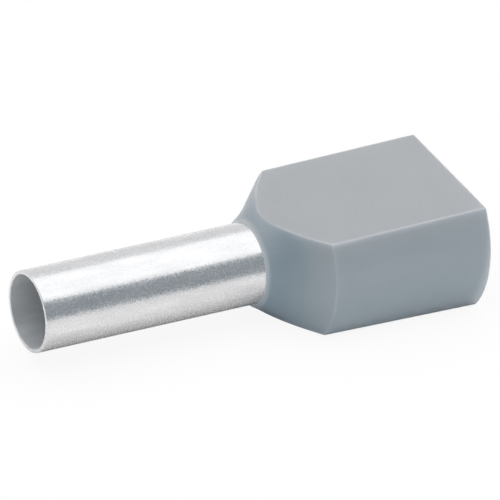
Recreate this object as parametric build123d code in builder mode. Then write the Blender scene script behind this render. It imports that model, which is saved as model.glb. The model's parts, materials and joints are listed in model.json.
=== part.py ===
from build123d import *

import os
from math import cos, radians, sin, tan

# Twin wire ferrule: a tinned copper sleeve, held in a moulded collar that takes two insulated wires.
# Millimetres. The origin is the centre of the sleeve's open tip, +X runs along the sleeve to the wire
# entry, the two wires lie side by side along Y, and +Z is up.

# Sleeve, a thin seamless tube
sleeve_bore = 3.8  # inside diameter, for the strands of two 4 mm2 wires
sleeve_wall = 0.2
sleeve_reach = 12.32  # from the open tip to the collar's lip
sleeve_grip = 0.3  # straight length inside the collar, before the flare
flare_length = 1.2  # along the axis, to the end inside the collar
flare_angle = 5.5
flare_bend = 1.0  # radius on the outside of the tube, where the flare begins
rim_round = 0.05  # on the edges of both cut ends

# Collar, outside: a turned form with two drafted flats
collar_length = 11.5  # from the lip to the wire entry
lip_wall = 0.14  # thickness of the lip around the sleeve
lip_land = 0.07  # straight part of the slope, before it curves
lip_round = 0.1
throat_angle = 30.0  # slope of the collar at its lip
throat_blend = 6.0  # radius of the hollow curve from that slope into the cone's
cone_angle = 45.2
barrel_width = 9.26  # across the round sides, where the cone ends
barrel_draft = 0.78
flat_draft = 1.3
shoulder_round = 0.15  # between the cone and the round sides
edge_round = 0.12  # around both flats and the rim of the wire entry

# Collar, inside
collar_wall = 0.4
mouth_margin = 0.05  # from the flare's rim to the pocket's flat walls
sleeve_clearance = 0.01  # between the tube and its seat
pocket_round = 0.25  # along the corners of the pocket
entry_lead = 0.15  # bevel inside the wire entry

# How far a cutting form runs past the face that it cuts
overrun = 1.0

# Places along the axis, and radii
sleeve_radius = sleeve_bore / 2 + sleeve_wall
flare_start = sleeve_reach + sleeve_grip
mouth_x = flare_start + flare_length
mouth_radius = sleeve_radius + flare_length * tan(radians(flare_angle))
entry_x = sleeve_reach + collar_length

cone_slope = tan(radians(cone_angle))
lip_radius = sleeve_radius + lip_wall
throat_length = lip_land + throat_blend * tan(radians((cone_angle - throat_angle) / 2))
throat_x = sleeve_reach + throat_length * cos(radians(throat_angle))
throat_radius = lip_radius + throat_length * sin(radians(throat_angle))
shoulder_radius = barrel_width / 2
shoulder_x = throat_x + (shoulder_radius - throat_radius) / cone_slope


def barrel_radius(x, inset):
    """Radius of the drafted round sides at x, moved inwards by an inset."""
    return shoulder_radius + (x - shoulder_x) * tan(radians(barrel_draft)) - inset


def flat_height(x, inset):
    """Height of the drafted flat at x over the axis, moved inwards by an inset."""
    at_mouth = mouth_radius + mouth_margin + collar_wall
    return at_mouth + (x - mouth_x) * tan(radians(flat_draft)) - inset


def flared_line(start_x, offset):
    """Corners of the tube's outer surface from start_x to the flared mouth, moved outwards by an offset."""
    bend_x = flare_start - offset * tan(radians(flare_angle / 2))
    straight = sleeve_radius + offset
    mouth = mouth_radius + offset / cos(radians(flare_angle))
    return [(start_x, straight), (bend_x, straight), (mouth_x, mouth)]


def flat_slab(start_x, end_x, inset):
    """Outline of the space between the two flats, seen from the side."""
    low = flat_height(start_x, inset)
    high = flat_height(end_x, inset)
    return [(start_x, -low), (end_x, -high), (end_x, high), (start_x, low)]


# The sleeve is its wall's section, turned about the axis
with BuildPart() as sleeve:
    with BuildSketch(Plane.XY):
        with BuildLine():
            FilletPolyline(
                *flared_line(0, -sleeve_wall),
                *reversed(flared_line(0, 0)),
                radius=[rim_round, flare_bend + sleeve_wall, rim_round, rim_round, flare_bend, rim_round],
                close=True,
            )
        make_face()
    revolve(axis=Axis.X)

# The core is the hollow of the collar: the sleeve's seat, a funnel and a pocket for two wires
funnel_end_radius = barrel_radius(shoulder_x, collar_wall)
funnel_start_radius = mouth_radius + sleeve_clearance / cos(radians(flare_angle))
funnel_end_x = mouth_x + (funnel_end_radius - funnel_start_radius) / cone_slope
core_front_x = sleeve_reach - overrun
core_end_x = entry_x + overrun

with BuildPart() as core:
    with BuildSketch(Plane.XY):
        with BuildLine():
            FilletPolyline(
                (core_front_x, 0),
                *flared_line(core_front_x, sleeve_clearance),
                (funnel_end_x, barrel_radius(funnel_end_x, collar_wall)),
                (core_end_x, barrel_radius(core_end_x, collar_wall)),
                (core_end_x, 0),
                radius=[0, 0, flare_bend - sleeve_clearance, 0, 0, 0, 0],
                close=True,
            )
        make_face()
    revolve(axis=Axis.X)
    with BuildSketch(Plane.XZ):
        with BuildLine():
            Polyline(*flat_slab(core_front_x, core_end_x, collar_wall), close=True)
        make_face()
    extrude(amount=barrel_width, both=True, mode=Mode.INTERSECT)
    pocket_corners = core.edges().filter_by(
        lambda edge: abs(edge.center().Z) > mouth_radius and funnel_end_x < edge.center().X < entry_x
    )
    fillet(pocket_corners, radius=pocket_round)

# The collar is a turned form, cut by two flats, rounded and hollowed by the core
with BuildPart() as collar:
    with BuildSketch(Plane.XY):
        with BuildLine():
            FilletPolyline(
                (sleeve_reach, 0),
                (sleeve_reach, lip_radius),
                (throat_x, throat_radius),
                (shoulder_x, shoulder_radius),
                (entry_x, barrel_radius(entry_x, 0)),
                (entry_x, 0),
                radius=[0, lip_round, throat_blend, shoulder_round, 0, 0],
                close=True,
            )
        make_face()
    revolve(axis=Axis.X)
    with BuildSketch(Plane.XZ):
        with BuildLine():
            Polyline(*flat_slab(sleeve_reach - overrun, entry_x + overrun, 0), close=True)
        make_face()
    extrude(amount=barrel_width, both=True, mode=Mode.INTERSECT)
    flats = collar.faces().filter_by(GeomType.PLANE).sort_by(Axis.Z)
    entry_face = collar.faces().sort_by(Axis.X)[-1]
    fillet(flats[0].edges() + flats[-1].edges() + entry_face.edges(), radius=edge_round)
    add(core.part, mode=Mode.SUBTRACT)
    entry_rim = collar.faces().sort_by(Axis.X)[-1].inner_wires()[0]
    chamfer(entry_rim.edges(), length=entry_lead)

sleeve.part.label = "sleeve"
collar.part.label = "collar"

os.makedirs("parts", exist_ok=True)
export_step(sleeve.part, "parts/sleeve.step")
export_step(collar.part, "parts/collar.step")
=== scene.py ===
import json
import logging
from collections.abc import Mapping
from dataclasses import dataclass
from enum import Enum
from math import cos, pi, radians, sin, tan
from typing import Any

import bpy
import numpy as np
from mathutils import Matrix, Vector


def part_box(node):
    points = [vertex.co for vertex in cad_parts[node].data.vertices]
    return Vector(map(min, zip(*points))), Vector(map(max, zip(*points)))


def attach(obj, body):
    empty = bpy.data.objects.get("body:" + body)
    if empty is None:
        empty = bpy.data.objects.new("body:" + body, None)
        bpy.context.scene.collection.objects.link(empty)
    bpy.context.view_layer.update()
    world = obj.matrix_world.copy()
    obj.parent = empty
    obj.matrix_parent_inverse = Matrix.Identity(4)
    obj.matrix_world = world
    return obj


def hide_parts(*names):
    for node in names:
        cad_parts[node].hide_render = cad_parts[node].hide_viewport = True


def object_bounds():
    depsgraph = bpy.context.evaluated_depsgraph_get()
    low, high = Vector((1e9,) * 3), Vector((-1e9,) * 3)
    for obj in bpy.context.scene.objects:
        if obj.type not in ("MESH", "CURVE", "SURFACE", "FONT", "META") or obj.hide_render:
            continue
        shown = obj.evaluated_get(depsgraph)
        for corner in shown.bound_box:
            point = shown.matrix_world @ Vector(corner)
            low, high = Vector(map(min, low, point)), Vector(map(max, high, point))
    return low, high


# Twin wire ferrule: a tinned copper sleeve in a moulded polypropylene collar, whose entry takes two
# insulated wires side by side. The origin is the centre of the sleeve's open tip, +X runs along the
# sleeve to the wire entry, the wires lie side by side along Y, and +Z is up. Sizes in the classes are
# millimetres, and meshes are metres.

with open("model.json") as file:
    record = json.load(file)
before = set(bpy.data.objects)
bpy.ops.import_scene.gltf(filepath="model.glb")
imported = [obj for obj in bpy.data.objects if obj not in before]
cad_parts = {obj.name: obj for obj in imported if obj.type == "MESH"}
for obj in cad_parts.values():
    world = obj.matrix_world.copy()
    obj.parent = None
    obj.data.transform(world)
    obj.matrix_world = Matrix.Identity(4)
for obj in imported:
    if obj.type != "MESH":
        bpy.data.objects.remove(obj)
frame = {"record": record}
cad_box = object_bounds()

log = logging.getLogger("ferrule")
Array = np.ndarray
Colour = tuple[float, float, float, float]  # linear red, green and blue, and alpha
MM = 0.001  # metres in a millimetre


def linear(hex_colour: str) -> Colour:
    """Turns an sRGB hex colour into linear light.

    A channel up to 0.04045 is divided by 12.92. Above that, 0.055 is added, the sum is divided by 1.055,
    and the result is raised to the power 2.4.

    Args:
        hex_colour: Six hex digits after a hash sign.

    Returns:
        Red, green and blue as linear light, and an alpha of 1.
    """
    coded = np.array([int(hex_colour[start:start + 2], 16) for start in (1, 3, 5)]) / 255
    channels = np.where(coded <= 0.04045, coded / 12.92, ((coded + 0.055) / 1.055) ** 2.4)
    return (*channels.tolist(), 1.0)


def add_node(
    tree: bpy.types.NodeTree,
    kind: str,
    settings: Mapping[str, Any] | None = None,
    inputs: Mapping[str | int, Any] | None = None,
) -> bpy.types.Node:
    """Adds a node with its settings, values and links.

    Args:
        tree: Node tree that gets the node.
        kind: Type name of the node.
        settings: Values of the node's own properties, by name.
        inputs: For each input socket, by name or number, its value or the output socket that feeds it.

    Returns:
        The new node.
    """
    node = tree.nodes.new(kind)
    for name, value in (settings or {}).items():
        setattr(node, name, value)
    for socket, value in (inputs or {}).items():
        if isinstance(value, bpy.types.NodeSocket):
            tree.links.new(value, node.inputs[socket])
        else:
            node.inputs[socket].default_value = value
    return node


def new_material(name: str) -> tuple[bpy.types.Material, bpy.types.NodeTree]:
    """Makes a material with an empty node tree.

    Args:
        name: The material's name.

    Returns:
        The material and its node tree.
    """
    material = bpy.data.materials.new(name)
    material.use_nodes = True
    material.node_tree.nodes.clear()
    return material, material.node_tree


def met_by_eye(
    tree: bpy.types.NodeTree, paths: Mapping[str, bpy.types.NodeSocket],
) -> bpy.types.NodeSocket:
    """Tells whether a ray shows what it meets: to the camera, in a mirror or through glass.

    It is the greatest of the three shares.

    Args:
        tree: Node tree that gets the nodes.
        paths: Outputs of its light path node.

    Returns:
        One for such a ray, and none for one that only brings light to matt surfaces.
    """
    seen = paths["Is Camera Ray"]
    for other in ("Is Glossy Ray", "Is Transmission Ray"):
        seen = add_node(
            tree, "ShaderNodeMath", {"operation": "MAXIMUM"}, {0: seen, 1: paths[other]},
        ).outputs["Value"]
    return seen


def rounded_line(corners: Array, radii: Array, arc_steps: int = 8) -> Array:
    """Rounds the inner corners of an open line.

    At each inner corner the line turns by some angle. The arc meets both runs at a distance from the corner
    of the radius times the tangent of half that turn. Its centre lies one radius to the side that the line
    turns to, and each point of the arc is the first spoke from the centre, turned by an even share of the
    turn.

    Args:
        corners: Corners in a plane, one row each.
        radii: Radius at each corner but the first and the last.
        arc_steps: Steps along each arc.

    Returns:
        Points of the line, the arcs included, one row each.
    """
    runs = np.diff(corners, axis=0)
    runs = runs / np.linalg.norm(runs, axis=1, keepdims=True)
    before, after = runs[:-1], runs[1:]
    turn = np.arctan2(
        before[:, 0] * after[:, 1] - before[:, 1] * after[:, 0],
        np.sum(before * after, axis=1),
    )
    back_off = radii * np.tan(np.abs(turn) / 2)
    start = corners[1:-1] - before * back_off[:, None]
    to_left = np.stack([-before[:, 1], before[:, 0]], axis=1)
    spoke = -to_left * (np.sign(turn) * radii)[:, None]
    centre = start - spoke
    angle = turn[:, None] * np.linspace(0, 1, arc_steps + 1)
    arcs = np.stack(
        [
            centre[:, :1] + spoke[:, :1] * np.cos(angle) - spoke[:, 1:] * np.sin(angle),
            centre[:, 1:] + spoke[:, :1] * np.sin(angle) + spoke[:, 1:] * np.cos(angle),
        ],
        axis=2,
    )
    return np.concatenate([corners[:1], arcs.reshape(-1, 2), corners[-1:]])


def divided(points: Array, step: float | Array) -> Array:
    """Divides the runs of a line into equal parts no longer than a step.

    Point number n of a run lies n parts of the way from its start to its end.

    Args:
        points: Points of an open line, one row each.
        step: Longest part, for all runs or for each.

    Returns:
        Points of the divided line, one row each.
    """
    runs = np.diff(points, axis=0)
    parts = np.maximum(np.ceil(np.linalg.norm(runs, axis=1) / step), 1).astype(int)
    run = np.repeat(np.arange(len(runs)), parts)
    part = np.arange(parts.sum()) - np.repeat(np.cumsum(parts) - parts, parts)
    inner = points[run] + runs[run] * (part / parts[run])[:, None]
    return np.concatenate([inner, points[-1:]])


def smooth_least(first: Array, second: Array, blend: Array) -> Array:
    """Takes the lesser of two fields, rounded where they meet.

    Where the two differ by less than the blend, the square of what is missing from it is divided by four
    blends and taken off the lesser.

    Args:
        first: One field.
        second: The other field.
        blend: Difference at which the rounding ends.

    Returns:
        The rounded lesser field.
    """
    missing = np.maximum(blend - np.abs(first - second), 0)
    return np.minimum(first, second) - missing ** 2 / (4 * blend)


def ring_piece(
    name: str,
    grid: Array,
    materials: list[bpy.types.Material],
    finish: Array,
    marks: Mapping[str, Array] | None = None,
) -> bpy.types.Object:
    """Makes a closed ring surface from a grid that joins up both ways.

    Quad number (row, column) has its corners at that grid point and the next ones along both ways, and the
    last row and column are followed by the first. Rows walk the wall's section outside along +X and back
    inside, and columns turn from +Y to +Z, so every quad faces outwards.

    Args:
        name: The piece's name.
        grid: Points in millimetres, by row, column and axis.
        materials: The piece's materials.
        finish: Number of the material for each row of quads.
        marks: Attributes for the material, by name, with a number for each grid point.

    Returns:
        The new object, at the origin.
    """
    rows, columns, _ = grid.shape
    number = np.arange(rows * columns).reshape(rows, columns)
    next_row, next_column = np.roll(number, -1, axis=0), np.roll(number, -1, axis=1)
    across = np.roll(next_row, -1, axis=1)
    quads = np.stack([number, next_column, across, next_row], axis=2).reshape(-1, 4)
    mesh = bpy.data.meshes.new(name)
    mesh.from_pydata((grid.reshape(-1, 3) * MM).tolist(), [], quads.tolist())
    for material in materials:
        mesh.materials.append(material)
    mesh.polygons.foreach_set("material_index", np.repeat(finish, columns).astype(np.int32))
    mesh.polygons.foreach_set("use_smooth", np.ones(len(quads), dtype=bool))
    for mark, values in (marks or {}).items():
        attribute = mesh.attributes.new(mark, "FLOAT", "POINT")
        attribute.data.foreach_set("value", values.ravel().astype(np.float32))
    mesh.update()
    piece = bpy.data.objects.new(name, mesh)
    bpy.context.scene.collection.objects.link(piece)
    return piece


class TinSkin(Enum):
    """The two skins of the sleeve, by their material's number."""

    OUTSIDE = 0
    BORE = 1


@dataclass(frozen=True)
class TinPlate:
    """Matt tin, electroplated on drawn copper tube: pale neutral metal with a fine sparkle of crystals.

    Each crystal leans its own way and has its own roughness, so it mirrors another place than the next.
    The crystals are drawn at 0.08 mm, about ten times their size, because finer ones don't show.
    """

    name: str
    tone: str = "#EBEBEC"
    shaded_tone: str = "#D9DADC"  # of the darkest crystals and smudges
    roughness: tuple[float, float] = (0.17, 0.31)  # of the smoothest crystal and the roughest
    crystal_mm: float = 0.08
    crystal_lean: float = 0.035  # widest difference between the leans of two crystals, as a slope
    crystal_share: float = 0.3  # of the crystals in the colour's unevenness, on top of the smudges
    uneven: tuple[float, float] = (0.4, 0.9)  # that unevenness where the colour is darkest and palest
    smudge_mm: float = 0.5  # handling marks, across the tube
    smudge_stretch: float = 5.0  # their length over their width
    smudge_detail: float = 3.0  # their finer layers
    drawing_mm: float = 0.12  # between the lines that the drawing die leaves
    drawing_stretch: float = 40.0  # length of a line over its width
    drawing_detail: float = 1.0
    drawing_height_mm: float = 0.0012

    def streaks(
        self,
        tree: bpy.types.NodeTree,
        place: bpy.types.NodeSocket,
        size_mm: float,
        stretch: float,
        detail: float,
    ) -> bpy.types.NodeSocket:
        """Makes noise that is longer along the tube than across it.

        Args:
            tree: Node tree of the material.
            place: Object coordinates.
            size_mm: Size across the tube.
            stretch: Length over that size.
            detail: Finer layers of the noise.

        Returns:
            The noise.
        """
        along = add_node(
            tree, "ShaderNodeMapping", inputs={"Vector": place, "Scale": (1 / stretch, 1.0, 1.0)},
        ).outputs["Vector"]
        return add_node(
            tree, "ShaderNodeTexNoise",
            inputs={"Vector": along, "Scale": 1 / (size_mm * MM), "Detail": detail},
        ).outputs["Fac"]

    def material(self) -> bpy.types.Material:
        """Builds the material: leaning crystals, bumps along the drawing lines, and smudges.

        Returns:
            The finished material.
        """
        material, tree = new_material(self.name)
        place = add_node(tree, "ShaderNodeTexCoord").outputs["Object"]
        crystals = add_node(
            tree, "ShaderNodeTexVoronoi", inputs={"Vector": place, "Scale": 1 / (self.crystal_mm * MM)},
        ).outputs["Color"]
        crystal = add_node(tree, "ShaderNodeSeparateColor", inputs={"Color": crystals}).outputs["Red"]
        smudges = self.streaks(tree, place, self.smudge_mm, self.smudge_stretch, self.smudge_detail)
        lines = self.streaks(tree, place, self.drawing_mm, self.drawing_stretch, self.drawing_detail)
        unevenness = add_node(
            tree, "ShaderNodeMath", {"operation": "MULTIPLY_ADD"},
            {0: crystal, 1: self.crystal_share, 2: smudges},
        ).outputs["Value"]
        share = add_node(
            tree, "ShaderNodeMapRange",
            inputs={"Value": unevenness, "From Min": self.uneven[0], "From Max": self.uneven[1]},
        ).outputs["Result"]
        colour = add_node(
            tree, "ShaderNodeMix", {"data_type": "RGBA"},
            {"Factor": share, "A": linear(self.shaded_tone), "B": linear(self.tone)},
        ).outputs["Result"]
        roughness = add_node(
            tree, "ShaderNodeMapRange",
            inputs={"Value": crystal, "To Min": self.roughness[0], "To Max": self.roughness[1]},
        ).outputs["Result"]
        line_bump = add_node(
            tree, "ShaderNodeBump",
            inputs={"Height": lines, "Distance": self.drawing_height_mm * MM},
        ).outputs["Normal"]
        middle = (0.5, 0.5, 0.5)  # of the crystals' random colours
        lean = add_node(
            tree, "ShaderNodeVectorMath", {"operation": "SUBTRACT"}, {0: crystals, 1: middle},
        ).outputs["Vector"]
        facet = add_node(
            tree, "ShaderNodeVectorMath", {"operation": "MULTIPLY_ADD"},
            {0: lean, 1: (self.crystal_lean,) * 3, 2: line_bump},
        ).outputs["Vector"]
        facet = add_node(
            tree, "ShaderNodeVectorMath", {"operation": "NORMALIZE"}, {0: facet},
        ).outputs["Vector"]
        shader = add_node(
            tree, "ShaderNodeBsdfPrincipled",
            inputs={"Base Color": colour, "Metallic": 1.0, "Roughness": roughness, "Normal": facet},
        ).outputs["BSDF"]
        add_node(tree, "ShaderNodeOutputMaterial", inputs={"Surface": shader})
        return material


class SkinMark(Enum):
    """Marks on the collar's skin that its material reads, by the names of their attributes."""

    PAINTED_EDGE_HIGHLIGHT = "near_edge"
    ON_FLAT = "on_flat"


@dataclass(frozen=True)
class MouldedPolypropylene:
    """Grey polypropylene, injection moulded: a waxy satin skin that light enters a little way.

    The mould's fine spark texture is drawn at 0.07 mm, about twice its grit, so that it shows.
    """

    lip_x: float  # where the collar starts on the tube
    entry_x: float  # where it ends, at the wire entry
    name: str = "moulded_polypropylene"
    tone: str = "#AAAAAB"
    clouded_tone: str = "#A5A6A7"  # where the pigment is a little denser
    cloud_mm: float = 2.5
    cloud_detail: float = 4.0  # finer layers of the clouds
    painted_edge_highlight_tone: str = "#B5B5B5"  # painted highlight beside the flats' edges, standing for light that went in round the corner and comes out there
    painted_lip_glow_tone: str = "#C7C7C7"  # painted glow on the lip, standing for the bright tube showing through the thin plastic
    lip_fade_mm: float = 0.23  # over this the painted glow fades, and light enters the skin again
    painted_rim_glow_tone: str = "#BEBCB9"  # painted glow at the walls' ends by the wire entry, for light let through there
    rim_fade_mm: float = 0.6
    rim_slant: float = 0.15  # light comes in low there, so that fade starts further in at the bottom
    painted_throat_shade_tone: str = "#949CA1"  # painted shade, deeper and cooler, where the cone lies on the tube
    throat_shade_mm: tuple[float, float] = (0.8, 2.5)  # past the lip, from where to where that painted shade fades
    wander_mm: float = 1.2  # how far the clouds move that fade
    roughness: float = 0.3
    roughness_spread: float = 0.06
    texture_mm: float = 0.07
    texture_detail: float = 2.0
    texture_range: tuple[float, float] = (0.3, 0.7)  # of that noise, for the smoothest and the roughest
    texture_height_mm: float = 0.0008
    ior: float = 1.49
    scatter_weight: float = 1.0
    scatter_mm: float = 0.75

    def faded(
        self,
        tree: bpy.types.NodeTree,
        colour: bpy.types.NodeSocket,
        tone: str,
        along: bpy.types.NodeSocket,
        full_x: float,
        clear_x: float,
    ) -> bpy.types.NodeSocket:
        """Lays a tone over the colour, which fades out smoothly along X.

        Args:
            tree: Node tree of the material.
            colour: Colour so far.
            tone: The tone on top.
            along: Place along X in metres.
            full_x: Where the tone starts to fade, in millimetres.
            clear_x: Where it has gone.

        Returns:
            The new colour.
        """
        share = add_node(
            tree, "ShaderNodeMapRange", {"interpolation_type": "SMOOTHSTEP"},
            {
                "Value": along, "From Min": full_x * MM, "From Max": clear_x * MM,
                "To Min": 1.0, "To Max": 0.0,
            },
        ).outputs["Result"]
        return add_node(
            tree, "ShaderNodeMix", {"data_type": "RGBA"}, {"Factor": share, "A": colour, "B": linear(tone)},
        ).outputs["Result"]

    def marked(
        self,
        tree: bpy.types.NodeTree,
        mark: SkinMark,
        elsewhere: bpy.types.NodeSocket,
        there: bpy.types.NodeSocket | Colour,
    ) -> bpy.types.NodeSocket:
        """Takes another colour where the skin is marked.

        Args:
            tree: Node tree of the material.
            mark: The mark.
            elsewhere: Colour where the mark is none.
            there: Colour where it is full.

        Returns:
            The new colour.
        """
        share = add_node(tree, "ShaderNodeAttribute", {"attribute_name": mark.value}).outputs["Fac"]
        return add_node(
            tree, "ShaderNodeMix", {"data_type": "RGBA"}, {"Factor": share, "A": elsewhere, "B": there},
        ).outputs["Result"]

    def colour(
        self,
        tree: bpy.types.NodeTree,
        split: Mapping[str, bpy.types.NodeSocket],
        clouds: bpy.types.NodeSocket,
    ) -> bpy.types.NodeSocket:
        """Lays the tones over one another: clouds, a painted shade on the cone by the tube, and painted
        glow beside the edges, on the lip and at the rim.

        The flats keep the clouds' tone up to their edges, because the painted shade belongs to the cone.

        Args:
            tree: Node tree of the material.
            split: Place along each axis, in metres.
            clouds: Noise of the pigment's clouds.

        Returns:
            The colour.
        """
        along = split["X"]
        slanted = add_node(
            tree, "ShaderNodeMath", {"operation": "MULTIPLY_ADD"},
            {0: split["Z"], 1: -self.rim_slant, 2: along},
        ).outputs["Value"]
        wandering = add_node(
            tree, "ShaderNodeMath", {"operation": "MULTIPLY_ADD"},
            {0: clouds, 1: self.wander_mm * MM, 2: along},
        ).outputs["Value"]
        plain = add_node(
            tree, "ShaderNodeMix", {"data_type": "RGBA"},
            {"Factor": clouds, "A": linear(self.clouded_tone), "B": linear(self.tone)},
        ).outputs["Result"]
        # painted shade: the cone turns deeper and cooler next to the tube
        shade_from, shade_to = (self.lip_x + self.wander_mm / 2 + past_lip for past_lip in self.throat_shade_mm)
        throat_shaded = self.faded(tree, plain, self.painted_throat_shade_tone, wandering, shade_from, shade_to)
        colour = self.marked(tree, SkinMark.ON_FLAT, throat_shaded, plain)
        # painted highlight beside the flats' edges
        colour = self.marked(tree, SkinMark.PAINTED_EDGE_HIGHLIGHT, colour, linear(self.painted_edge_highlight_tone))
        # painted glow on the thin lip against the tube
        colour = self.faded(tree, colour, self.painted_lip_glow_tone, along, self.lip_x, self.lip_x + self.lip_fade_mm)
        # painted glow at the rim of the wire entry, paler lower down
        rim_end = self.entry_x - self.rim_fade_mm
        return self.faded(tree, colour, self.painted_rim_glow_tone, slanted, self.entry_x, rim_end)

    def material(self) -> bpy.types.Material:
        """Builds the material: its colour, and the mould's texture in the bump and roughness.

        Returns:
            The finished material.
        """
        material, tree = new_material(self.name)
        place = add_node(tree, "ShaderNodeTexCoord").outputs["Object"]
        split = add_node(tree, "ShaderNodeSeparateXYZ", inputs={"Vector": place}).outputs
        clouds = add_node(
            tree, "ShaderNodeTexNoise",
            inputs={"Vector": place, "Scale": 1 / (self.cloud_mm * MM), "Detail": self.cloud_detail},
        ).outputs["Fac"]
        texture = add_node(
            tree, "ShaderNodeTexNoise",
            inputs={"Vector": place, "Scale": 1 / (self.texture_mm * MM), "Detail": self.texture_detail},
        ).outputs["Fac"]
        colour = self.colour(tree, split, clouds)
        roughness = add_node(
            tree, "ShaderNodeMapRange",
            inputs={
                "Value": texture,
                "From Min": self.texture_range[0], "From Max": self.texture_range[1],
                "To Min": self.roughness - self.roughness_spread / 2,
                "To Max": self.roughness + self.roughness_spread / 2,
            },
        ).outputs["Result"]
        bump = add_node(
            tree, "ShaderNodeBump",
            inputs={"Height": texture, "Distance": self.texture_height_mm * MM},
        ).outputs["Normal"]
        scatter = add_node(
            tree, "ShaderNodeMapRange", {"interpolation_type": "SMOOTHSTEP"},
            {
                "Value": split["X"],
                "From Min": self.lip_x * MM, "From Max": (self.lip_x + self.lip_fade_mm) * MM,
                "To Min": 0.0, "To Max": self.scatter_weight,
            },
        ).outputs["Result"]
        shader = add_node(
            tree, "ShaderNodeBsdfPrincipled",
            inputs={
                "Base Color": colour, "Roughness": roughness, "IOR": self.ior, "Normal": bump,
                "Subsurface Weight": scatter, "Subsurface Scale": self.scatter_mm * MM,
                "Subsurface Radius": (1.0, 1.0, 1.0),
            },
        ).outputs["BSDF"]
        add_node(tree, "ShaderNodeOutputMaterial", inputs={"Surface": shader})
        return material


@dataclass(frozen=True)
class Sleeve:
    """Seamless tinned copper tube, straight from its open tip and flared inside the collar."""

    bore_radius: float
    outer_radius: float
    mouth_x: float  # the end inside the collar
    flare_length: float = 1.2  # along the axis
    flare_angle: float = radians(5.5)
    flare_bend: float = 1.0  # radius on the outside, where the flare begins
    rim_round: float = 0.05  # on the edges of both cut ends
    length_step: float = 0.4
    columns: int = 192

    @classmethod
    def from_frame(cls, record: Mapping[str, Any]) -> "Sleeve":
        """Reads the radii from the mounts and the end from the solid.

        Args:
            record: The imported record.

        Returns:
            The sleeve.
        """
        radii = {mount["name"]: mount["dims"]["r_mm"] for mount in record["mounts"]}
        return cls(radii["sleeve_bore"], radii["crimp_sleeve"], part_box("sleeve")[1].x / MM)

    @property
    def mouth_radius(self) -> float:
        """Outer radius at the flared mouth."""
        return self.outer_radius + self.flare_length * tan(self.flare_angle)

    def flared_line(self, start_x: float, offset: float) -> Array:
        """Gives the corners of the tube's outer line from a start to the flared mouth, moved outwards.

        The straight part moves by the offset, and the flare by the offset over the cosine of its angle. So
        they meet back along X by the offset times the tangent of half that angle.

        Args:
            start_x: Where the line starts.
            offset: How far it is moved, square to itself.

        Returns:
            Three corners: place along X and radius.
        """
        bend_x = self.mouth_x - self.flare_length - offset * tan(self.flare_angle / 2)
        straight = self.outer_radius + offset
        mouth = self.mouth_radius + offset / cos(self.flare_angle)
        return np.array([(start_x, straight), (bend_x, straight), (self.mouth_x, mouth)])

    def wall(self) -> Array:
        """Walks the wall's section: from half-way along the bore to the tip, then outside to the mouth.

        The inside is the outer line moved inwards by the wall's thickness.

        Returns:
            A closed line, without its first point repeated: place along X and radius.
        """
        thickness = self.outer_radius - self.bore_radius
        inside, outside = self.flared_line(0, -thickness), self.flared_line(0, 0)
        half_way = inside[:2].mean(axis=0)
        corners = np.array([half_way, inside[0], *outside, *inside[:0:-1], half_way])
        rim, bend = self.rim_round, self.flare_bend
        line = rounded_line(corners, np.array([rim, rim, bend, rim, rim, bend + thickness]))
        return divided(line, self.length_step)[:-1]

    def build(self) -> bpy.types.Object:
        """Turns the wall's section about X: Y is the radius times the cosine of the angle, and Z its sine.

        Returns:
            The dressed sleeve, riding on the frame.
        """
        line = self.wall()
        x, radius = line[:, :1], line[:, 1:]
        angle = np.arange(self.columns) * 2 * pi / self.columns
        grid = np.stack([x + 0 * angle, radius * np.cos(angle), radius * np.sin(angle)], axis=2)
        depth = self.outer_radius - radius[:, 0]
        in_bore = depth > self.outer_radius - self.bore_radius - self.rim_round / 2
        finish = np.where(in_bore, TinSkin.BORE.value, TinSkin.OUTSIDE.value)
        materials = [
            TinPlate("matt_tin_plate").material(),
            TinPlate(
                "matt_tin_in_bore",
                tone="#E9EBEC", shaded_tone="#D9DBDD", roughness=(0.7, 0.9), crystal_lean=0.03,
            ).material(),
        ]
        piece = ring_piece("tinned_sleeve", grid, materials, finish)
        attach(piece, "root")
        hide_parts("sleeve")
        return piece


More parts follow.
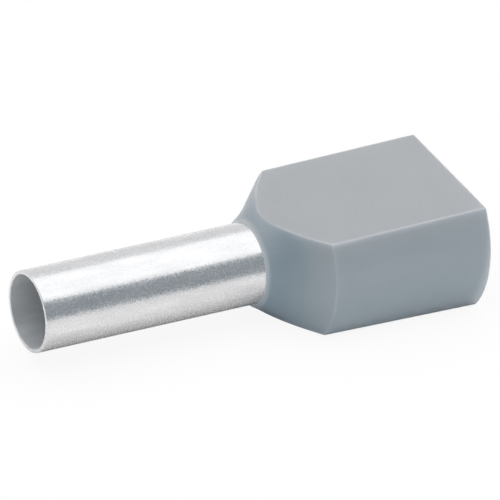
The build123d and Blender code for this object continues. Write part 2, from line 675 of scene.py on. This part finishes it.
@dataclass(frozen=True)
class Collar:
    """Moulded collar: a turned form with two drafted flats, hollow for the sleeve and two wires."""

    sleeve: Sleeve
    reach: float  # from the sleeve's open tip to the lip
    entry_x: float
    lip_wall: float = 0.14  # thickness of the lip around the sleeve
    lip_slant: float = 0.14  # how far the lip's face leans back along X, as a feathered edge does
    lip_land: float = 0.23  # straight part of the slope, before it curves
    lip_round: float = 0.1
    throat_angle: float = radians(30)  # slope at the lip
    throat_blend: float = 4.8  # radius of the hollow curve from that slope into the cone's
    cone_angle: float = radians(45.2)
    barrel_width: float = 9.26  # across the round sides, where the cone ends
    barrel_draft: float = radians(0.78)
    flat_draft: float = radians(1.3)
    shoulder_round: float = 0.15  # between the cone and the round sides
    edge_round: float = 0.12  # around both flats and the rim of the wire entry
    painted_highlight_beside: float = 0.7  # how far the painted edge highlight reaches beside a flat's edge, and on the flat itself
    painted_highlight_on_flat: float = 0.1
    wall: float = 0.4
    mouth_margin: float = 0.05  # from the flare's rim to the pocket's flat walls
    seat_clearance: float = 0.002  # between the tube and its seat, which is moulded tight on it
    pocket_round: float = 0.25  # along the corners of the pocket
    entry_lead: float = 0.15  # bevel inside the wire entry
    lead_round: float = 0.03  # on the edges of that bevel and of the funnel
    seat_round: float = 0.004  # on the lip's inner edge, where it meets the tube
    blend_share: float = 0.54  # smooth_least's blend for each millimetre of rounding at a flat's edge
    fine_step: float = 0.04  # along the cone, where the flats begin
    funnel_step: float = 0.08  # along the funnel and the seat
    coarse_step: float = 0.3  # along the straight sides
    side_columns: int = 30  # from the middle of a side or a flat to its edge
    steepest_edge: float = radians(80)
    corner_steps: int = 16  # around each rounded corner of the turned outline

    @classmethod
    def from_frame(cls, sleeve: Sleeve) -> "Collar":
        """Reads both ends from the solid.

        Args:
            sleeve: The sleeve that the collar holds.

        Returns:
            The collar.
        """
        low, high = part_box("collar")
        return cls(sleeve, low.x / MM, high.x / MM)

    @property
    def lip_radius(self) -> float:
        """Outer radius at the lip."""
        return self.sleeve.outer_radius + self.lip_wall

    @property
    def seat_x(self) -> float:
        """Place inside the seat, past its rounded edge, where the wall's section starts and ends."""
        return self.reach + 2 * self.seat_round

    @property
    def throat(self) -> tuple[float, float]:
        """Works out the corner between the slope at the lip and the cone, which the hollow curve rounds.

        It lies up the slope by the straight part and the curve's radius times the tangent of half its turn.

        Returns:
            Place along X and radius.
        """
        length = self.lip_land + self.throat_blend * tan((self.cone_angle - self.throat_angle) / 2)
        return (
            self.reach + length * cos(self.throat_angle),
            self.lip_radius + length * sin(self.throat_angle),
        )

    @property
    def shoulder_x(self) -> float:
        """Place where the cone meets the round sides, past the throat by its rise over its tangent."""
        throat_x, throat_radius = self.throat
        return throat_x + (self.barrel_width / 2 - throat_radius) / tan(self.cone_angle)

    def barrel_radius(self, x: float | Array) -> float | Array:
        """Radius of the drafted round sides at x: it grows by the draft's tangent from the shoulder on."""
        return self.barrel_width / 2 + (x - self.shoulder_x) * tan(self.barrel_draft)

    def flat_height(self, x: float | Array) -> float | Array:
        """Height of the drafted flat at x: it grows by the draft's tangent from the flare's mouth on."""
        at_mouth = self.sleeve.mouth_radius + self.mouth_margin + self.wall
        return at_mouth + (x - self.sleeve.mouth_x) * tan(self.flat_draft)

    def outside(self, end_x: float) -> Array:
        """Walks the turned outline from just inside the seat over the lip, cone and shoulder to the side.

        The lip's face leans back along X by the slant, out to the slope's line there.

        Args:
            end_x: Where the line ends on the round side.

        Returns:
            Rows of place along X, turned radius and depth under the outer skin, which is none.
        """
        seat = self.sleeve.outer_radius + self.seat_clearance
        corners = np.array(
            [
                (self.seat_x, seat),
                (self.reach, seat),
                (self.reach + self.lip_slant, self.lip_radius + self.lip_slant * tan(self.throat_angle)),
                self.throat,
                (self.shoulder_x, self.barrel_width / 2),
                (end_x, self.barrel_radius(end_x)),
            ]
        )
        radii = np.array([self.seat_round, self.lip_round, self.throat_blend, self.shoulder_round])
        line = rounded_line(corners, radii, self.corner_steps)
        on_cone = line[:-1, 0] < self.shoulder_x + self.shoulder_round / 2
        line = divided(line, np.where(on_cone, self.fine_step, self.coarse_step))
        return np.column_stack([line, np.zeros(len(line))])

    def rim(self, start_x: float, end_x: float) -> Array:
        """Walks over the rim of the wire entry, from the round side in by the bevel to the pocket.

        The walk is drawn as place along X against depth, and the turned radius is the round side's less
        that depth.

        Args:
            start_x: Where the line starts on the round side.
            end_x: Where it ends in the pocket.

        Returns:
            Rows of place along X, turned radius and depth under the outer skin.
        """
        corners = np.array(
            [
                (start_x, 0),
                (self.entry_x, 0),
                (self.entry_x, self.wall - self.entry_lead),
                (self.entry_x - self.entry_lead, self.wall),
                (end_x, self.wall),
            ]
        )
        line = rounded_line(corners, np.array([self.edge_round, self.lead_round, self.lead_round]))
        x, depth = divided(line, self.coarse_step).T
        return np.column_stack([x, self.barrel_radius(x) - depth, depth])

    def inside(self, start_x: float) -> Array:
        """Walks the pocket, the funnel and the sleeve's seat, back to where the outside starts.

        The pocket lies under the round side by the wall, and the funnel falls at the cone's angle to the
        mouth of the seat.

        Args:
            start_x: Where the line starts in the pocket.

        Returns:
            Rows of place along X, turned radius and depth under the outer skin, which is the wall.
        """
        seat_line = self.sleeve.flared_line(self.seat_x, self.seat_clearance)
        mouth_x, funnel_radius = seat_line[-1]
        pocket_radius = self.barrel_radius(self.shoulder_x) - self.wall
        funnel_end = mouth_x + (pocket_radius - funnel_radius) / tan(self.cone_angle)
        corners = np.array(
            [
                (start_x, self.barrel_radius(start_x) - self.wall),
                (funnel_end, self.barrel_radius(funnel_end) - self.wall),
                *seat_line[::-1],
            ]
        )
        bend = self.sleeve.flare_bend - self.seat_clearance
        line = rounded_line(corners, np.array([self.lead_round, self.lead_round, bend]))
        line = divided(line, np.where(line[:-1, 0] < funnel_end, self.funnel_step, self.coarse_step))
        return np.column_stack([line, np.full(len(line), self.wall)])

    def angles(self, turned: Array, flat: Array) -> Array:
        """Lays the columns around each station, crowded at the flats' edges.

        The edge lies at the arc sine of the flat's height over the turned radius. In a quarter, a column is
        short of the edge, or past it, by the square of an even share of the side or of the flat. The second
        quarter mirrors the first, and the second half repeats the first half turned by 180 degrees.

        Args:
            turned: Turned radius of each station, as a column.
            flat: Height of the flat there.

        Returns:
            Angle about X from +Y, by station and column.
        """
        edge = np.arcsin(np.clip(flat / turned, 0, sin(self.steepest_edge)))
        share = np.arange(self.side_columns) / self.side_columns
        quarter = np.hstack([edge * (1 - (1 - share) ** 2), edge + (pi / 2 - edge) * share ** 2])
        half = np.hstack([quarter, np.full_like(edge, pi / 2), pi - quarter[:, :0:-1]])
        return np.hstack([half, half + pi])

    def marks(self, x: Array, turned: Array, over_sine: Array, depth: Array) -> dict[str, Array]:
        """Marks the outer skin near a flat's edge, where a highlight is painted, and on the flats.

        Near an edge, the difference of the two distances is taken off the width there. The mark is the
        square of what is left, as a share of that width, and it fades evenly from the shoulder to none at
        the lip. A flat is where its own distance is the lesser. Both marks are none in the pocket.

        Args:
            x: Place along X.
            turned: Turned radius.
            over_sine: Distance of the flat from the axis, along the same ray.
            depth: Depth under the outer skin.

        Returns:
            Share from 0 to 1 for each point, by the attribute's name.
        """
        on_flat = over_sine < turned
        width = np.where(on_flat, self.painted_highlight_on_flat, self.painted_highlight_beside)
        left = np.clip(1 - np.abs(over_sine - turned) / width, 0, 1)
        from_lip = np.clip((x - self.reach) / (self.shoulder_x - self.reach), 0, 1)
        shares = {SkinMark.PAINTED_EDGE_HIGHLIGHT: from_lip * left ** 2, SkinMark.ON_FLAT: on_flat}
        return {mark.value: np.where(depth > 0, 0, share) for mark, share in shares.items()}

    def build(self) -> bpy.types.Object:
        """Carries the wall's section about X.

        The skin's distance from the axis is the rounded lesser of the turned radius and the flat's height
        over the sine of the angle. Y is that distance times the cosine of the angle, and Z times its sine.

        Returns:
            The dressed collar, riding on the frame.
        """
        half_way = (self.shoulder_x + self.entry_x) / 2
        stations = np.concatenate(
            [self.outside(half_way)[:-1], self.rim(half_way, half_way)[:-1], self.inside(half_way)[:-1]]
        )
        x, turned, depth = stations.T[:, :, None]
        flat = self.flat_height(x) - depth
        rounding = self.edge_round + (self.pocket_round - self.edge_round) * depth / self.wall
        angle = self.angles(turned, flat)
        least_sine = 1e-6  # keeps the flat's distance finite in the middle of the round sides
        over_sine = flat / np.maximum(np.abs(np.sin(angle)), least_sine)
        distance = smooth_least(turned, over_sine, self.blend_share * rounding)
        grid = np.stack([x + 0 * angle, distance * np.cos(angle), distance * np.sin(angle)], axis=2)
        plastic = MouldedPolypropylene(self.reach, self.entry_x).material()
        marks = self.marks(x, turned, over_sine, depth)
        piece = ring_piece("grey_collar", grid, [plastic], np.zeros(len(x)), marks)
        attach(piece, "root")
        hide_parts("collar")
        return piece


@dataclass(frozen=True)
class Floor:
    """Pale floor under the ferrule, matt, seen only from above.

    What is seen of it is white in the open, and a little duller in reflections. A share of that is its own
    light and shadow, balanced to white, and the rest is an even glow.
    """

    level: float  # metres
    radius_mm: float = 900.0
    tone: str = "#E4EEF4"  # for the light that it throws back on the ferrule
    seen: tuple[float, float] = (0.09, 0.91)  # its own light's share and the glow, for the camera
    mirrored: tuple[float, float] = (0.86, 0.10)  # the same in reflections
    open_light: tuple[float, float, float] = (1.07, 1.13, 1.18)  # light on it, away from the ferrule
    sides: int = 96  # of the disc

    def material(self) -> bpy.types.Material:
        """Builds the floor's finish: white with a soft shadow for the eye, and plain pale for other light.

        Returns:
            The finished material.
        """
        material, tree = new_material("pale_floor")
        paths = add_node(tree, "ShaderNodeLightPath").outputs
        plain = add_node(tree, "ShaderNodeBsdfDiffuse", inputs={"Color": linear(self.tone)}).outputs["BSDF"]
        share, rest = (
            add_node(
                tree, "ShaderNodeMix",
                inputs={"Factor": paths["Is Camera Ray"], "A": in_mirror, "B": to_camera},
            ).outputs["Result"]
            for in_mirror, to_camera in zip(self.mirrored, self.seen)
        )
        balance = tuple(1 / channel for channel in self.open_light)
        balanced = add_node(
            tree, "ShaderNodeVectorMath", {"operation": "SCALE"}, {"Vector": balance, "Scale": share},
        ).outputs["Vector"]
        shaded = add_node(tree, "ShaderNodeBsdfDiffuse", inputs={"Color": balanced}).outputs["BSDF"]
        glow = add_node(tree, "ShaderNodeEmission", inputs={"Strength": rest}).outputs["Emission"]
        lifted = add_node(tree, "ShaderNodeAddShader", inputs={0: shaded, 1: glow}).outputs["Shader"]
        above = add_node(
            tree, "ShaderNodeMixShader", inputs={"Fac": met_by_eye(tree, paths), 1: plain, 2: lifted},
        ).outputs["Shader"]
        clear = add_node(tree, "ShaderNodeBsdfTransparent").outputs["BSDF"]
        behind = add_node(tree, "ShaderNodeNewGeometry").outputs["Backfacing"]
        surface = add_node(
            tree, "ShaderNodeMixShader", inputs={"Fac": behind, 1: above, 2: clear},
        ).outputs["Shader"]
        add_node(tree, "ShaderNodeOutputMaterial", inputs={"Surface": surface})
        return material

    def build(self) -> bpy.types.Object:
        """Lays a flat disc at the object's lowest level, with the points of its rim at even angles.

        Returns:
            The floor.
        """
        angle = np.arange(self.sides) * 2 * pi / self.sides
        rim = np.stack([np.cos(angle), np.sin(angle), 0 * angle], axis=1) * self.radius_mm * MM
        mesh = bpy.data.meshes.new("floor")
        mesh.from_pydata((rim + (0, 0, self.level)).tolist(), [], [list(range(len(rim)))])
        mesh.materials.append(self.material())
        floor = bpy.data.objects.new("floor", mesh)
        bpy.context.scene.collection.objects.link(floor)
        return floor


@dataclass(frozen=True)
class StudioCard:
    """Even card, curved round the ferrule, for what the metal mirrors or for the light on matt surfaces."""

    name: str
    tone: str
    azimuth: tuple[float, float]  # degrees from -Y towards +X
    elevation: tuple[float, float]  # degrees above the floor
    brightness: float = 1.0
    lights_matt: bool = False
    distance_mm: float = 800.0
    points: tuple[int, int] = (49, 13)  # along the azimuth and the elevation

    def build(self) -> bpy.types.Object:
        """Makes a patch of a sphere: a point at each azimuth and elevation, at one distance.

        As shares of the distance, X is the azimuth's sine and Y minus its cosine, both times the
        elevation's cosine, and Z is the elevation's sine.

        Returns:
            The card, hidden from the camera.
        """
        azimuth = np.radians(np.linspace(*self.azimuth, self.points[0]))[:, None]
        elevation = np.radians(np.linspace(*self.elevation, self.points[1]))
        directions = np.stack(
            [
                np.sin(azimuth) * np.cos(elevation),
                -np.cos(azimuth) * np.cos(elevation),
                np.sin(elevation) + 0 * azimuth,
            ],
            axis=2,
        )
        number = np.arange(directions[..., 0].size).reshape(self.points)
        quads = np.stack([number[:-1, :-1], number[:-1, 1:], number[1:, 1:], number[1:, :-1]], axis=2)
        places = directions.reshape(-1, 3) * self.distance_mm * MM
        mesh = bpy.data.meshes.new(self.name)
        mesh.from_pydata(places.tolist(), [], quads.reshape(-1, 4).tolist())
        material, tree = new_material(self.name)
        glow = add_node(
            tree, "ShaderNodeEmission", inputs={"Color": linear(self.tone), "Strength": self.brightness},
        ).outputs["Emission"]
        add_node(tree, "ShaderNodeOutputMaterial", inputs={"Surface": glow})
        mesh.materials.append(material)
        card = bpy.data.objects.new(self.name, mesh)
        card.visible_camera = False
        card.visible_glossy = not self.lights_matt
        card.visible_diffuse = self.lights_matt
        bpy.context.scene.collection.objects.link(card)
        return card


@dataclass(frozen=True)
class Softbox:
    """Wide soft light above the ferrule: a lamp for matt surfaces, and a cloth that the metal mirrors."""

    middle_mm: float = 12.0  # along X
    height_mm: float = 300.0
    length_mm: float = 640.0  # along X
    width_mm: float = 490.0  # along Y
    cloth_shift_mm: float = 19.0  # towards +Y
    lamp_shift_mm: float = 60.0
    brightness: float = 1.95  # lights the top of the ferrule as plainly as an even white sky would
    mirrored: float = 1.31  # brightness of its cloth in reflections, lower so that the metal keeps its tone

    def cloth(self) -> bpy.types.Object:
        """Makes the flat cloth that reflections show, with a corner at each half length and half width.

        Returns:
            The cloth, hidden from all but reflections.
        """
        far_x, far_y = self.length_mm * MM / 2, self.width_mm * MM / 2
        corners = [(-far_x, -far_y, 0), (-far_x, far_y, 0), (far_x, far_y, 0), (far_x, -far_y, 0)]
        mesh = bpy.data.meshes.new("softbox_cloth")
        mesh.from_pydata(corners, [], [(0, 1, 2, 3)])
        material, tree = new_material("softbox_cloth")
        glow = add_node(tree, "ShaderNodeEmission", inputs={"Strength": self.mirrored}).outputs["Emission"]
        add_node(tree, "ShaderNodeOutputMaterial", inputs={"Surface": glow})
        mesh.materials.append(material)
        cloth = bpy.data.objects.new("softbox_cloth", mesh)
        cloth.visible_camera = cloth.visible_diffuse = cloth.visible_shadow = False
        return cloth

    def build(self) -> bpy.types.Object:
        """Hangs the light. A flat light's power is its brightness times its area times pi.

        Returns:
            The light.
        """
        light = bpy.data.lights.new("softbox", "AREA")
        light.shape = "RECTANGLE"
        light.size, light.size_y = self.length_mm * MM, self.width_mm * MM
        light.energy = self.brightness * light.size * light.size_y * pi
        softbox = bpy.data.objects.new("softbox", light)
        softbox.visible_camera = softbox.visible_glossy = False
        for item, shift in ((softbox, self.lamp_shift_mm), (self.cloth(), self.cloth_shift_mm)):
            item.location = Vector((self.middle_mm, shift, self.height_mm)) * MM
            bpy.context.scene.collection.objects.link(item)
        return softbox


@dataclass(frozen=True)
class Surroundings:
    """White all round for what the eye sees, and a dimmer, cooler fill for matt surfaces."""

    fill_tone: str = "#BCE1FF"
    fill: float = 0.18

    def build(self) -> bpy.types.World:
        """Builds the world.

        Returns:
            The scene's world.
        """
        world = bpy.data.worlds.new("white_studio")
        world.use_nodes = True
        tree = world.node_tree
        tree.nodes.clear()
        paths = add_node(tree, "ShaderNodeLightPath").outputs
        fill = add_node(
            tree, "ShaderNodeBackground", inputs={"Color": linear(self.fill_tone), "Strength": self.fill},
        ).outputs["Background"]
        white = add_node(
            tree, "ShaderNodeBackground", inputs={"Color": (1.0, 1.0, 1.0, 1.0), "Strength": 1.0},
        ).outputs["Background"]
        both = add_node(
            tree, "ShaderNodeMixShader", inputs={"Fac": met_by_eye(tree, paths), 1: fill, 2: white},
        ).outputs["Shader"]
        add_node(tree, "ShaderNodeOutputWorld", inputs={"Surface": both})
        bpy.context.scene.world = world
        return world


@dataclass(frozen=True)
class Viewpoint:
    """Camera of the picture: a long lens above the near side, turned a little about its own line."""

    azimuth: float = radians(-30.62)  # from -Y towards +X
    elevation: float = radians(32.06)
    roll: float = radians(4.90)
    distance_mm: float = 466.3
    aim_mm: tuple[float, float, float] = (12.55, 0.11, 0.67)  # point at the middle of the picture
    lens_mm: float = 668.5
    clip_m: tuple[float, float] = (0.01, 10.0)  # nearest and farthest place that it sees

    def build(self) -> bpy.types.Object:
        """Places the camera: back from the aim by the distance, with its sideways turned by the roll.

        Returns:
            The scene's camera.
        """
        back = Vector(
            (
                sin(self.azimuth) * cos(self.elevation),
                -cos(self.azimuth) * cos(self.elevation),
                sin(self.elevation),
            )
        )
        level = Vector((cos(self.azimuth), sin(self.azimuth), 0))
        upright = back.cross(level)
        right = level * cos(self.roll) + upright * sin(self.roll)
        up = back.cross(right)
        data = bpy.data.cameras.new("camera")
        data.lens = self.lens_mm
        data.clip_start, data.clip_end = self.clip_m
        camera = bpy.data.objects.new("camera", data)
        turn = Matrix((right, up, back)).transposed().to_4x4()
        place = (Vector(self.aim_mm) + back * self.distance_mm) * MM
        camera.matrix_world = Matrix.Translation(place) @ turn
        bpy.context.scene.collection.objects.link(camera)
        bpy.context.scene.camera = camera
        return camera


def main() -> None:
    """Builds the ferrule, its floor, its light and its camera."""
    logging.basicConfig(level=logging.INFO, format="%(name)s: %(message)s")
    bpy.context.scene.view_settings.view_transform = "Standard"
    sleeve = Sleeve.from_frame(frame["record"])
    parts = [sleeve, Collar.from_frame(sleeve)]
    for part in parts:
        piece = part.build()
        log.info("%s: %d faces", piece.name, len(piece.data.polygons))
    stage = [
        Floor(level=cad_box[0].z),
        StudioCard("near_card", tone="#9AA1A6", azimuth=(-75, 110), elevation=(1, 54)),
        StudioCard("far_card", tone="#EBEBEB", azimuth=(120, 255), elevation=(1, 46)),
        StudioCard("left_card", tone="#A3AFB9", azimuth=(-105, -75), elevation=(1, 54)),
        StudioCard(
            "low_light", tone="#D1EBF6", azimuth=(-75, 80), elevation=(1, 16),
            brightness=4.6, lights_matt=True,
        ),
        Softbox(),
        Surroundings(),
        Viewpoint(),
    ]
    for item in stage:
        log.info("%s: ready", item.build().name)


if __name__ == "__main__":
    main()
